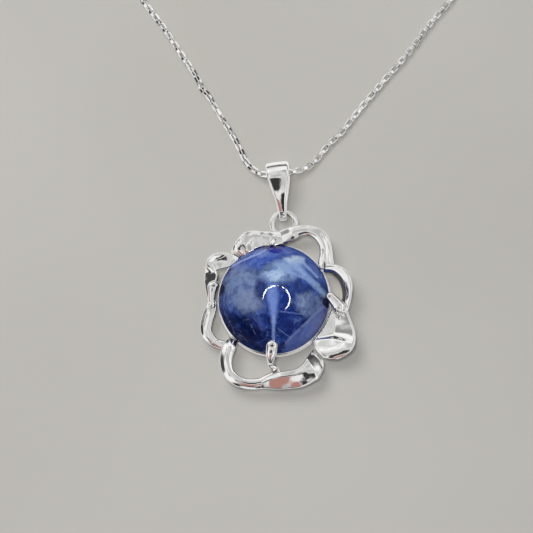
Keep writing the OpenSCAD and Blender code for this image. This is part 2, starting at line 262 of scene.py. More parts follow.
def make_world():
    """A pale studio by direction: a soft dome with bright, dark and dull pink panels, and a ring lamp.

    Only perfectly sharp reflections, which the stone has, see the ring lamp at full strength.
    """
    world = bpy.data.worlds.new("studio")
    world.use_nodes = True
    scene.world = world
    g = Graph(world.node_tree)
    way = g.node("ShaderNodeTexCoord").outputs["Generated"]

    def spot(direction, inner, outer):
        """1 within inner degrees of a direction, 0 beyond outer."""
        near = g.vector("DOT_PRODUCT", way, tuple(unit(direction)))
        return g.span(near, math.cos(math.radians(outer)), math.cos(math.radians(inner)))

    def bearing(azimuth, zenith):
        a, z = math.radians(azimuth), math.radians(zenith)
        return (math.sin(z) * math.cos(a), math.sin(z) * math.sin(a), math.cos(z))

    height = g.node("ShaderNodeSeparateXYZ", way).outputs[2]
    colour = g.ramp(g.span(height, -1, 1, smooth=False), [
        (0.0, grey(0.40)), (0.5, grey(0.30)), (0.53, grey(0.04)), (0.58, grey(0.10)), (0.66, grey(0.70)),
        (0.80, grey(1.06)), (0.93, grey(1.04)), (1.0, grey(1.0))])
    wave = g.noise(way, 1.7, 2.0, 0.5, 0.8)
    colour = g.mix(g.span(wave, 0.36, 0.62), g.mix(1.0, colour, grey(0.58), "MULTIPLY"), colour)
    panels = [
        (bearing(140, 52), 14, 34, grey(1.2)), (bearing(-150, 55), 12, 28, grey(1.15)),
        (bearing(20, 48), 10, 24, grey(1.2)), (bearing(-50, 55), 10, 22, grey(1.2)),
        (bearing(85, 55), 8, 20, grey(1.15)), (bearing(158, 38), 4, 13, grey(0.34)),
        (bearing(180, 68), 8, 20, grey(0.07)), (bearing(75, 30), 2, 10, grey(0.34)),
        (bearing(-20, 34), 2, 9, grey(0.36)), (bearing(-135, 34), 2, 8, grey(0.38)),
        (bearing(50, 68), 4, 9, grey(0.08)), (bearing(-100, 70), 4, 10, grey(0.07)),
        (bearing(-104, 52), 12, 16, srgb(192, 142, 134)), (bearing(-106, 24), 8, 12, grey(0.05)),
        (bearing(-78, 40), 5, 8, grey(0.04)),
    ]
    for direction, inner, outer, tint in panels:
        colour = g.mix(spot(direction, inner, outer), colour, tint)
    near = g.vector("DOT_PRODUCT", way, tuple(unit(RING_LAMP_AXIS)))
    angle = g.math("MULTIPLY", g.math("ARCCOSINE", near), 180 / math.pi)
    uneven = g.math("MULTIPLY", g.math("SUBTRACT", g.noise(way, 7.0, 1.0), 0.5), 2.4)
    band = g.span(g.math("ABSOLUTE", g.math("SUBTRACT", g.math("ADD", angle, uneven), RING_LAMP_RADIUS)),
                  *RING_LAMP_EDGE)
    x, y, _ = g.node("ShaderNodeSeparateXYZ", way).outputs
    open_side = g.span(g.math("ADD", g.math("MULTIPLY", x, 0.45), y), -0.22, -0.10)
    rays = g.node("ShaderNodeLightPath").outputs
    gaps = g.span(g.noise(way, 6.0, 1.0), 0.34, 0.42)
    ring = g.math("MULTIPLY", g.math("MULTIPLY", band, gaps), open_side)
    mirror = g.mix(ring, g.mix(1.0, colour, grey(SHARP_DOME), "MULTIPLY"), grey(SHARP_RING))
    colour = g.mix(g.math("MULTIPLY", ring, FAINT_SHARE), colour, grey(FAINT_RING))
    colour = g.mix(rays["Is Diffuse Ray"], colour, g.mix(1.0, colour, grey(DOME_LIGHT), "MULTIPLY"))
    colour = g.mix(rays["Is Singular Ray"], colour, mirror)
    colour = g.mix(rays["Is Camera Ray"], colour, srgb(*BACKDROP))
    shine = g.node("ShaderNodeBackground", colour, DOME_STRENGTH)
    g.node("ShaderNodeOutputWorld", shine.outputs[0])


def make_lamp(name, place, size, power):
    """A round lamp that faces the pendant. It lights things, but isn't seen or mirrored."""
    lamp = bpy.data.lights.new(name, "AREA")
    lamp.shape = "DISK"
    lamp.size = size
    lamp.energy = power
    made = bpy.data.objects.new(name, lamp)
    made.location = place
    made.rotation_euler = (-Vector(place)).to_track_quat("-Z", "Y").to_euler()
    made.visible_camera = False
    made.visible_glossy = False
    scene.collection.objects.link(made)


def make_floor():
    """A plain pale floor, which the silver mirrors brighter and the stone darker than it is seen."""
    made, g, shader = material("pale_floor")
    where = place_mm(g)
    tone = g.span(g.noise(where, 0.012, 2.0, 0.5), 0.3, 0.7)
    tint = g.mix(tone, srgb(182, 180, 174), srgb(189, 187, 182))
    rays = g.node("ShaderNodeLightPath").outputs
    tint = g.mix(rays["Is Glossy Ray"], tint, grey(0.86))
    g.put(shader.inputs["Base Color"], g.mix(rays["Is Singular Ray"], tint, grey(0.1)))
    shader.inputs["Roughness"].default_value = 0.7
    bpy.ops.mesh.primitive_plane_add(size=3)
    floor = bpy.context.object
    floor.name = "floor"
    floor.data.materials.append(made)


make_world()
make_lamp("key", (-0.16, 0.24, 0.44), 0.34, 1.35)
make_lamp("overhead", (0.0, -0.02, 0.5), 0.08, 0.9)
make_floor()
scene.view_settings.view_transform = "Standard"


# ---- Materials ----

def silver(name, roughness=(0.05, 0.14), dent=0.12, tint=(0.96, 0.955, 0.94), per_piece=False, inner_wall_shade=False,
           reach=0.7):
    """Polished silver: slow hand-made waves, fine scratches, darker in tight corners with oxide and painted shade.

    Walls that face the stone can get painted shade: a brown-grey colour, and more roughness.
    """
    made, g, shader = material(name)
    where = place_mm(g)
    wave = g.noise(where, 0.55, 2.0, 0.5)
    fine = g.noise(where, 3.5, 3.0, 0.6)
    streaks = g.noise(g.vector("MULTIPLY", where, (14.0, 1.6, 3.0)), 1.2, 2.0, 0.5)
    worn = g.math("MULTIPLY", g.span(fine, 0.3, 0.75), g.span(streaks, 0.35, 0.7), clamp=True)
    rough = g.span(worn, 0, 1, *roughness, smooth=False)
    # Painted shade with oxide: the colour darkens in tight corners, where nearby surfaces occlude
    corner = g.node("ShaderNodeAmbientOcclusion", samples=4, Distance=reach * MM).outputs["AO"]
    oxide_and_corner_shade = g.span(g.math("ADD", corner, g.math("MULTIPLY", g.math("SUBTRACT", fine, 0.5), 0.25)), 0.15, 0.62)
    dark = tuple(v * 0.34 for v in tint)
    colour = g.mix(oxide_and_corner_shade, dark, tint)
    if inner_wall_shade:
        # Painted shade: walls that face the stone turn brown-grey and rougher
        inward = g.vector("NORMALIZE", g.vector("MULTIPLY", where, (-1, -1, 0)))
        facing = g.vector("DOT_PRODUCT", g.node("ShaderNodeTexCoord").outputs["Normal"], inward)
        wall = g.math("ADD", facing, g.math("MULTIPLY", g.math("SUBTRACT", fine, 0.5), 0.2))
        dull = g.span(wall, 0.4, 0.85)
        colour = g.mix(dull, colour, (0.34, 0.30, 0.26))
        rough = g.math("ADD", rough, g.math("MULTIPLY", dull, 0.4))
    if per_piece:
        lot = g.node("ShaderNodeNewGeometry").outputs["Random Per Island"]
        colour = g.mix(g.span(lot, 0, 1, 0.0, 0.3), colour, tuple(v * 0.62 for v in tint))
    g.put(shader.inputs["Base Color"], colour)
    g.put(shader.inputs["Roughness"], rough)
    shader.inputs["Metallic"].default_value = 1.0
    height = g.math("ADD", wave, g.math("MULTIPLY", fine, 0.06))
    g.put(shader.inputs["Normal"], g.bump(height, dent, 0.25 * MM))
    return made


def stone_material():
    """Sodalite: navy ground with blue-grey clouds, pale vein lines and darker pools, with painted shadow beside the
    claws.
    """
    made, g, shader = material("sodalite")
    where = place_mm(g)
    slow = g.vector("SUBTRACT", g.noise(where, 0.32, 3.0, 0.55, colour=True), (0.5, 0.5, 0.5))
    quick = g.vector("SUBTRACT", g.noise(where, 1.5, 4.0, 0.62, colour=True), (0.5, 0.5, 0.5))
    bent = g.vector("ADD", g.vector("ADD", where, g.vector("SCALE", slow, scale=2.2)),
                    g.vector("SCALE", quick, scale=1.1))
    flat = g.vector("MULTIPLY", bent, (1, 1, 0))
    barely = g.vector("MULTIPLY", g.vector("ADD", where, g.vector("SCALE", quick, scale=0.28)), (1, 1, 0))
    grain = g.noise(bent, 1.1, 3.0, 0.55)
    mottle = g.noise(bent, 0.75, 5.0, 0.6)

    def blob(centre, radii, turn, soft=0.5, at=None):
        """1 inside an ellipse, easing to 0 outside it."""
        c, s = math.cos(math.radians(turn)), math.sin(math.radians(turn))
        off = g.vector("SUBTRACT", flat if at is None else at, (*centre, 0))
        u = g.vector("DOT_PRODUCT", off, (c / radii[0], s / radii[0], 0))
        v = g.vector("DOT_PRODUCT", off, (-s / radii[1], c / radii[1], 0))
        far = g.math("SQRT", g.math("ADD", g.math("POWER", u, 2), g.math("POWER", v, 2)))
        return g.span(far, 1 + soft, 1 - soft)

    def streak(a, b, half, soft=0.7, at=None):
        """1 on a line between two points, easing to 0 beside it."""
        a, b = np.array(a, float), np.array(b, float)
        along = b - a
        off = g.vector("SUBTRACT", barely if at is None else at, (*a, 0))
        t = g.vector("DOT_PRODUCT", off, (*(along / (along @ along)), 0))
        t = g.math("MINIMUM", g.math("MAXIMUM", t, 0), 1)
        foot = g.vector("SCALE", (*along, 0), scale=t)
        far = g.vector("DISTANCE", off, foot)
        return g.span(far, half * (1 + soft), half * (1 - soft))

    colour = g.ramp(g.span(mottle, 0.28, 0.74), [
        (0.0, srgb(12, 24, 70)), (0.35, srgb(26, 46, 108)), (0.7, srgb(48, 72, 146)), (1.0, srgb(76, 102, 172))])
    layers = [
        # Saturated blue in the upper right and along the upper edge
        (blob((4.6, 4.6), (4.2, 2.6), -40, 0.6), srgb(72, 100, 180), 0.8),
        (blob((-2.0, 6.0), (4.0, 1.5), 22, 0.6), srgb(76, 102, 184), 0.8),
        # Lilac-grey cloud on the left
        (blob((-4.5, 1.6), (2.9, 3.1), 15, 0.5), srgb(114, 132, 170), 0.95),
        (blob((-3.2, -1.0), (2.0, 1.5), -20, 0.5), srgb(122, 136, 170), 0.85),
        # Light cloud above the middle
        (blob((1.3, 3.4), (2.7, 1.7), 25, 0.55), srgb(140, 166, 206), 0.92),
        (blob((3.0, 5.4), (1.2, 0.7), -10, 0.5), srgb(186, 206, 232), 0.9),
        (blob((0.4, 2.6), (1.2, 0.8), 0, 0.6), srgb(178, 200, 230), 0.75),
        # Pale patch on the right
        (blob((5.1, -1.45), (1.85, 1.7), -20, 0.25), srgb(106, 126, 168), 0.95),
        (blob((4.2, -1.3), (0.6, 1.1), -15, 0.6), srgb(140, 160, 198), 0.7),
        # Pale end of the upper vein
        (blob((-1.7, 6.5), (1.4, 0.7), 15, 0.6), srgb(128, 150, 206), 0.75),
        # Zone beyond the lower right vein
        (blob((6.4, -5.2), (3.4, 1.7), 42, 0.2), srgb(104, 120, 176), 0.9),
        # Dark pools
        (blob((-4.4, -4.9), (4.2, 2.0), -28, 0.4), srgb(8, 18, 60), 0.97),
        (blob((-1.6, 0.6), (1.0, 1.7), 10, 0.5), srgb(14, 30, 90), 0.9),
        (blob((2.4, -1.5), (1.4, 2.0), 0, 0.5), srgb(18, 44, 118), 0.95),
        (blob((1.9, -4.3), (1.3, 2.0), 20, 0.5), srgb(16, 36, 108), 0.95),
        (blob((4.0, 0.9), (1.5, 0.9), -15, 0.5), srgb(34, 54, 112), 0.8),
        # Painted shadow under the top, left and right claws, near black
        (blob((0.0, 7.7), (1.7, 0.7), 0, 0.5), srgb(6, 14, 84), 1.0),
        (blob((-7.9, 1.3), (0.85, 1.0), 0, 0.5), srgb(6, 8, 40), 1.0),
        (blob((7.8, -0.7), (0.8, 1.0), 0, 0.5), srgb(6, 8, 48), 1.0),
    ]
    shaped = g.span(grain, 0.30, 0.56, 0.45, 1.0)
    for mask, tint, share in layers:
        colour = g.mix(g.math("MULTIPLY", g.math("MULTIPLY", mask, share), shaped), colour, tint)
    pale = srgb(158, 176, 222)
    veins_and_claw_shadows = [
        (streak((7.7, -2.0), (5.4, -4.9), 0.85, 0.5), srgb(100, 118, 182), 0.85),
        (streak((5.4, -4.9), (2.5, -7.2), 0.75, 0.5), srgb(92, 112, 186), 0.85),
        (streak((-6.8, 4.6), (-2.0, 6.35), 0.14), pale, 0.8),
        (streak((-2.0, 6.35), (-1.0, 7.05), 0.12), pale, 0.7),
        (streak((3.0, 4.7), (7.4, 0.4), 0.42, 0.8), srgb(146, 174, 220), 0.9),
        (streak((3.9, 5.5), (6.4, 2.9), 0.2, 0.8), srgb(150, 176, 222), 0.85),
        (streak((2.4, 3.4), (6.6, 1.7), 0.24, 0.8), srgb(138, 164, 216), 0.8),
        (streak((7.9, -0.75), (5.0, -3.9), 0.17), srgb(140, 154, 206), 0.6),
        (streak((5.0, -3.9), (1.9, -6.75), 0.17), srgb(132, 148, 202), 0.6),
        (streak((0.1, 0.5), (0.2, -0.9), 0.78, 0.5), srgb(112, 140, 206), 0.85),
        (streak((0.2, -0.9), (0.25, -2.5), 0.56, 0.7), srgb(112, 138, 204), 0.85),
        (streak((0.25, -1.8), (0.25, -4.0), 0.36, 0.8), srgb(118, 142, 208), 0.85),
        (streak((0.25, -3.4), (0.1, -6.6), 0.2, 0.8), srgb(134, 156, 216), 0.9),
        (streak((-2.0, -3.6), (-1.5, -4.9), 0.32, 0.8), srgb(78, 94, 168), 0.6),
        (streak((1.2, -2.6), (4.4, -2.9), 0.09, 0.9), srgb(120, 140, 200), 0.5),
        (streak((0.9, -5.0), (2.6, -6.2), 0.07, 0.9), srgb(130, 150, 208), 0.5),
        # Painted shadow beside the top, left and right claws, deep blue
        (blob((0.45, 7.2), (0.95, 0.8), 0, 0.3, barely), srgb(30, 42, 146), 1.9),
        (blob((0.35, 7.75), (0.8, 0.45), 0, 0.3, barely), srgb(6, 8, 84), 1.9),
        (blob((-7.75, 1.5), (0.4, 0.7), 0, 0.4, barely), srgb(10, 14, 52), 1.5),
        (blob((7.75, -0.8), (0.4, 0.6), 0, 0.4, barely), srgb(10, 14, 62), 1.5),
    ]
    patchy = g.span(g.noise(where, 2.6, 4.0, 0.65), 0.3, 0.55, 0.5, 1.0)
    for mask, tint, share in veins_and_claw_shadows:
        colour = g.mix(g.math("MULTIPLY", g.math("MULTIPLY", mask, share), patchy), colour, tint)
    crack = g.node("ShaderNodeTexVoronoi", feature="DISTANCE_TO_EDGE", Vector=bent, Scale=0.34).outputs["Distance"]
    crack = g.math("MULTIPLY", g.span(crack, 0.05, 0.0), g.span(grain, 0.46, 0.62))
    colour = g.mix(g.math("MULTIPLY", crack, 0.22), colour, pale)
    g.put(shader.inputs["Base Color"], colour)
    shader.inputs["Roughness"].default_value = 0.0
    shader.inputs["IOR"].default_value = 1.32
    return made


SILVER = silver("polished_silver", inner_wall_shade=True)
BAIL_SILVER = silver("bail_silver", (0.03, 0.08), 0.12)
CHAIN_SILVER = silver("chain_silver", (0.06, 0.16), 0.1, (0.97, 0.965, 0.945), per_piece=True, reach=0.2)
STEEL = silver("spring_steel", (0.22, 0.34), 0.3, (0.62, 0.62, 0.63))
SODALITE = stone_material()


# ---- Chain ----

RUN_ROUTE = [
    (-9.9, 56.6, 1.55), (-10.5, 54.3, 1.1), (-12.0, 52.6, 0.7), (-14.2, 51.7, 0.5),
    (-16.6, 51.2, 0.5), (-18.9, 50.0, 0.5), (-20.1, 47.8, 0.5), (-19.8, 46.0, 0.5),
    (-18.7, 44.5, 0.5), (-16.8, 41.9, 0.5), (-15.7, 40.2, 0.5), (-13.2, 36.4, 0.5),
    (-11.6, 33.9, 0.5), (-10.9, 32.3, 0.5), (-9.8, 31.0, 0.5), (-8.0, 27.9, 0.5),
    (-6.1, 24.7, 0.5), (-5.2, 23.0, 0.5), (-4.3, 21.1, 0.6), (-2.9, 19.6, 0.9),
    (-1.3, 18.85, 1.45), (0.6, 19.05, 1.5), (2.5, 19.25, 1.45), (3.7, 19.5, 1.1),
    (4.9, 20.0, 0.7), (6.2, 21.2, 0.5), (7.6, 22.9, 0.5), (8.6, 24.0, 0.5), (10.0, 25.3, 0.5),
    (12.4, 28.4, 0.5), (15.9, 32.6, 0.5), (17.1, 34.0, 0.5), (18.3, 35.3, 0.5),
    (20.7, 38.2, 0.5), (22.5, 40.7, 0.5), (24.7, 43.4, 0.5), (26.3, 45.2, 0.5),
    (27.3, 47.3, 0.75), (27.7, 49.3, 1.05),
]
LEAD_ROUTE = [(6.1, 56.6, 0.5), (6.3, 54.6, 0.5), (6.9, 53.0, 0.55), (7.9, 52.0, 0.85), (9.15, 51.5, 1.3)]
COIL_CENTRE = (-1.9, 58.0)
COIL_TURNS = 4.75
COIL_IN_R = 3.7
COIL_PITCH = 0.905
LAYER_Z = (0.5, 1.6)
LAYER_STEP = 200
LINK_PITCH = 0.88
LINK_LONG = 1.23
LINK_WIDE = 0.84
LINK_BAND = 0.44
LINK_THICK = 0.19
LINK_CORNER = 0.17
# How far the first and last links reach past the line's ends, and how much less at the free end's ring
END_GAP, RING_GAP = 0.3, 0.15
# Turn of the links about the line in degrees: at first, and how much less over the last stretch, in millimetres
TWIST, UNTWIST, FLAT_RUN, EASE_RUN = 45, 34, 42, 8


def chain_line():
    """The chain's middle line: from the clasp, through the coil's two layers and the bail, to the free end."""
    turn = COIL_TURNS * 360
    angle = np.arange(0, 2 * turn + 1, 6.0)
    radius = COIL_IN_R + COIL_PITCH * np.abs(angle - turn) / 360
    z = LAYER_Z[0] + (LAYER_Z[1] - LAYER_Z[0]) * smooth_step((angle - turn + LAYER_STEP) / (2 * LAYER_STEP))
    a = np.radians(angle)
    coil = np.stack([COIL_CENTRE[0] + radius * np.cos(a), COIL_CENTRE[1] + radius * np.sin(a), z], axis=1)
    return resample(np.concatenate([curve(LEAD_ROUTE[::-1], 8), coil, curve(RUN_ROUTE, 8)]), 0.3)


def link_shape():
    """One box link: a rounded oblong loop of flat band.

    Its columns are along the chain, across it and along the band's width.
    """
    half_long, half_wide, corner = (LINK_LONG - LINK_THICK) / 2, (LINK_WIDE - LINK_THICK) / 2, LINK_CORNER
    loop, out = [], []
    for quarter in range(4):
        for step in (0, 1, 2):
            a = math.radians(90 * quarter + 45 * step)
            sx, sy = (1, -1, -1, 1)[quarter], (1, 1, -1, -1)[quarter]
            loop.append((sx * (half_long - corner) + corner * math.cos(a),
                         sy * (half_wide - corner) + corner * math.sin(a)))
            out.append((math.cos(a), math.sin(a)))
    t, b, ease = LINK_THICK / 2, LINK_BAND / 2, 0.045
    section = [(t, b - ease), (t - ease, b), (ease - t, b), (-t, b - ease),
               (-t, ease - b), (ease - t, -b), (t - ease, -b), (t, ease - b)]
    points = [(x + ox * r, y + oy * r, v) for (x, y), (ox, oy) in zip(loop, out) for r, v in section]
    return np.array(points), grid_faces(len(loop), len(section), closed_rows=True)


CLASP_EYE = np.array([12.5, 51.5, 1.3])
SLOT_FLOOR_Y, SLOT_CLEARANCE = 51.15, 0.15
# The waist between the clasp's eye and its casing: it narrows over the first run and widens over the second
WAIST_FROM, WAIST_IN, WAIST_FULL, WAIST_OUT, WAIST_DEPTH = 0.85, 0.35, 1.1, 1.5, 0.34
# The casing's crown at its sides, and its thickness by the eye and how much less at the hook
CROWN, CROWN_HALF = 0.3, 2
CASING_THICK, HOOK_THINNER, HOOK_FROM, HOOK_RUN = 1.02, 0.14, 2.6, 3.5


def cast(node, name, body, slotted=False, grid=0.06, rounds=14):
    """A cast copy of a clasp piece: its CAD node on an even grid, smoothed round its edges, then crowned.

    In a slotted piece, the floor of the slot is cut deeper to clear the lever's heel.
    """
    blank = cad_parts[node].data.copy()
    blank.transform(Matrix.Scale(1 / MM, 4))
    if slotted:
        for vert in blank.vertices:
            if abs(vert.co.y - SLOT_FLOOR_Y) < 0.01:
                vert.co.y -= SLOT_CLEARANCE
    rough = bpy.data.objects.new(name + "_blank", blank)
    scene.collection.objects.link(rough)
    even = rough.modifiers.new("grid", "REMESH")
    even.mode = "VOXEL"
    even.voxel_size = grid
    mesh = bpy.data.meshes.new_from_object(rough.evaluated_get(bpy.context.evaluated_depsgraph_get()))
    bpy.data.objects.remove(rough)
    bpy.data.meshes.remove(blank)
    work = bmesh.new()
    work.from_mesh(mesh)
    for _ in range(rounds):
        bmesh.ops.smooth_vert(work, verts=work.verts, factor=0.5,
                              use_axis_x=True, use_axis_y=True, use_axis_z=True)
    work.verts.index_update()
    points = np.array([tuple(vert.co) for vert in work.verts]) - CLASP_EYE
    faces = [tuple(vert.index for vert in face.verts) for face in work.faces]
    work.free()
    bpy.data.meshes.remove(mesh)
    x, y, z = points.T
    waist = smooth_step((x - WAIST_FROM) / WAIST_IN) * (1 - smooth_step((x - WAIST_FULL) / WAIST_OUT))
    y = y * (1 - WAIST_DEPTH * waist)
    to_hook = np.clip(x - HOOK_FROM, 0, HOOK_RUN) / HOOK_RUN
    z = z * (1 - CROWN * np.clip(np.abs(y) / CROWN_HALF, 0, 1) ** 2) * (CASING_THICK - HOOK_THINNER * to_hook)
    points = np.stack([x, y, z], axis=1) + CLASP_EYE
    return piece(name, points, faces, SILVER, body, [node])


def make_chain():
    line = chain_line()
    s = np.concatenate([[0], np.cumsum(np.linalg.norm(np.diff(line, axis=0), axis=1))])
    way = tangents(line)
    shape, faces = link_shape()
    end = LINK_LONG / 2 - LINK_THICK - END_GAP
    count = int(round((s[-1] - 2 * end) / LINK_PITCH)) + 1
    points, all_faces = [], []
    for i, at in enumerate(np.linspace(end, s[-1] - end - RING_GAP, count)):
        middle = np.array([np.interp(at, s, line[:, k]) for k in range(3)])
        t = unit([np.interp(at, s, way[:, k]) for k in range(3)])
        side = unit(np.cross((0, 0, 1), t))
        up = np.cross(t, side)
        twist = TWIST - UNTWIST * smooth_step((at - s[-1] + FLAT_RUN) / EASE_RUN)
        sway = 14 * math.sin(at * 0.21) + 7 * math.sin(at * 0.83)
        turn = math.radians(twist + 90 * (i % 2) + sway + rng.normal(0, 3))
        across = math.cos(turn) * side + math.sin(turn) * up
        band = np.cross(t, across)
        points.append(middle + shape @ np.array([t, across, band]))
        all_faces += [tuple(k + i * len(shape) for k in face) for face in faces]
    chain = piece("box_chain", np.concatenate(points), all_faces, CHAIN_SILVER, "chain",
                  ["chain_run", "chain_lead", "chain_coil"], sharp=30)
    casing = cast("clasp_body", "clasp_casing", "clasp", slotted=True)
    gate = cast("clasp_lever", "clasp_gate", "lever", grid=0.05, rounds=8)


make_chain()


# ---- Stone and seat ----

def lathe(name, profile, sides, finish, body, replaced, closed=False, sharp=None):
    """Turns a profile of (radius, height) points about the Z axis. A closed profile makes a ring."""
    profile = np.asarray(profile, float)
    a = np.linspace(0, 2 * math.pi, sides, endpoint=False)
    rings = np.stack([np.outer(profile[:, 0], np.cos(a)), np.outer(profile[:, 0], np.sin(a)),
                      np.repeat(profile[:, 1:2], sides, axis=1)], axis=2)
    if closed:
        points, faces = rings.reshape(-1, 3), grid_faces(len(profile), sides, closed_rows=True)
    else:
        points, faces = skin(rings)
    return piece(name, points, faces, finish, body, replaced, sharp)


def make_stone():
    radius, low, girdle, crown = 8.1, 1.6, 2.3, 5.3
    ball = (radius**2 + crown**2) / (2 * crown)
    edge = math.asin(radius / ball)
    steps = 44
    profile = [(0.02, low), (4.0, low), (7.6, low), (7.86, low + 0.05), (8.02, low + 0.18), (radius, low + 0.4)]
    profile += [(radius, girdle - 0.1)]
    for k in range(steps):
        a = edge * (1 - (k + 0.4) / (steps + 0.4))
        profile.append((ball * math.sin(a), girdle + crown - ball + ball * math.cos(a)))
    profile.append((0.02, girdle + crown))
    lathe("cabochon", profile, 160, SODALITE, "setting", ["stone"])


def make_seat():
    profile = [
        (6.6, 0.0), (6.68, 0.0), (8.05, 0.0), (8.2, 0.05), (8.3, 0.15), (8.35, 0.3), (8.35, 0.55), (8.29, 0.66),
        (8.2, 0.75), (8.29, 0.84), (8.35, 0.95), (8.35, 1.4), (8.31, 1.52), (8.2, 1.6), (7.9, 1.6), (6.95, 1.6),
        (6.85, 1.56), (6.66, 1.3), (6.6, 1.15), (6.6, 0.08)]
    lathe("seat", profile, 144, SILVER, "setting", ["seat_ring"], closed=True, sharp=50)


make_stone()
make_seat()


# ---- Petals ----

def bent(points, breaks, steps):
    """A smooth curve through rows of numbers that turns sharply at the numbered rows."""
    cuts = [0, *breaks, len(points) - 1]
    parts = [curve(points[a:b + 1], steps)[:-1] for a, b in zip(cuts, cuts[1:])]
    return np.concatenate(parts + [points[-1:]])


PETAL_THICK, PETAL_EDGE = 0.56, 0.19


def petal(name, node, stations, creases=(), folds=()):
    """A folded strip of silver through stations of points across it, from the outer edge to the inner one.

    It folds sharply along the points numbered in creases, and across at the stations numbered in folds.
    """
    thick, edge = PETAL_THICK, PETAL_EDGE
    stations = np.asarray(stations, float)
    count, wide = stations.shape[:2]
    long = bent(stations.reshape(count, -1), folds, 10).reshape(-1, wide, 3)
    sheet = []
    for row in long:
        line = bent(row, creases, 5)
        s = np.concatenate([[0], np.cumsum(np.linalg.norm(np.diff(line, axis=0), axis=1))])
        at = edge + s * (s[-1] - 2 * edge) / s[-1]
        sheet.append(np.stack([np.interp(at, s, line[:, k]) for k in range(3)], axis=1))
    sheet = np.array(sheet)
    along, across = unit(np.gradient(sheet, axis=0)), unit(np.gradient(sheet, axis=1))
    up = unit(np.cross(across, along))
    up *= np.sign(up[..., 2:3])
    caps = [(1.0, 0.12), (0.92, 0.4), (0.7, 0.72), (0.35, 0.94)]
    plan = [(0, -push, size) for push, size in caps] + [(i, 0, 1) for i in range(len(sheet))]
    plan += [(-1, push, size) for push, size in caps[::-1]]
    turn = np.radians([60, 30, 0, -30, -60])
    rings = []
    for i, push, size in plan:
        h = thick / 2 * size
        row = sheet[i] + along[i] * push * edge
        right = [row[-1] + across[i, -1] * edge * size * math.cos(a) + up[i, -1] * h * math.sin(a) for a in turn]
        left = [row[0] - across[i, 0] * edge * size * math.cos(a) + up[i, 0] * h * math.sin(a) for a in turn[::-1]]
        rings.append(np.concatenate([row + up[i] * h, right, (row - up[i] * h)[::-1], left]))
    points, faces = skin(rings)
    return piece(name, points, faces, SILVER, "setting", [node], sharp=52)


